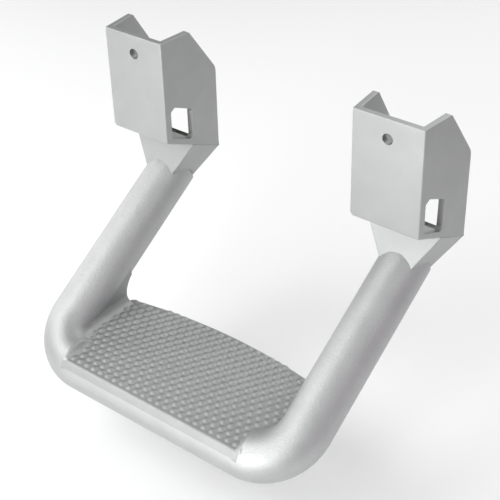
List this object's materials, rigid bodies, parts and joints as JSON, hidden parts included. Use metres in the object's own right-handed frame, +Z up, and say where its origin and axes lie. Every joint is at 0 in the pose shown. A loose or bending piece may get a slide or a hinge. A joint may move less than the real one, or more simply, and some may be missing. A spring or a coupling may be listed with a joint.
{
  "type": "tailgate step",
  "caption": "Hoop-shaped vehicle step: a bent round-tube hoop with a studded tread hangs from a pair of U-channel mounting brackets with bolt holes.",
  "frame": {"origin": "midpoint between the two mounting hole centres, on the channels' front faces", "axes": "+X along the step's width, +Y from the stepping side towards the vehicle, +Z up"},
  "size_m": [0.332, 0.2179, 0.2747],
  "materials": {
    "channel_aluminium": "satin, fine vibratory finish",
    "tube_aluminium": "shot blasted, fine matte grain",
    "tread_aluminium": "cast and shot blasted, studded",
    "weld_aluminium": "blended weld, shot blasted"
  },
  "bodies": {
    "root": {"mount_channel_left": "channel_aluminium", "mount_channel_right": "channel_aluminium", "channel_floor_left": "channel_aluminium", "channel_floor_right": "channel_aluminium", "knuckle_left": "channel_aluminium", "knuckle_right": "channel_aluminium", "leg_tube_left": "tube_aluminium", "leg_tube_right": "tube_aluminium", "corner_elbow_left": "tube_aluminium", "corner_elbow_right": "tube_aluminium", "leg_sleeve_left": "tube_aluminium", "leg_sleeve_right": "tube_aluminium", "bar_sleeve_left": "tube_aluminium", "bar_sleeve_right": "tube_aluminium", "end_segment_left": "tube_aluminium", "end_segment_right": "tube_aluminium", "side_web_left": "tread_aluminium", "side_web_right": "tread_aluminium", "web_weld_left": "weld_aluminium", "web_weld_right": "weld_aluminium", "front_bar": "tube_aluminium", "tread_plate": "tread_aluminium", "rear_stiffener": "tread_aluminium", "under_rib_left": "tread_aluminium", "under_rib_center": "tread_aluminium", "under_rib_right": "tread_aluminium"}
  },
  "joints": []
}
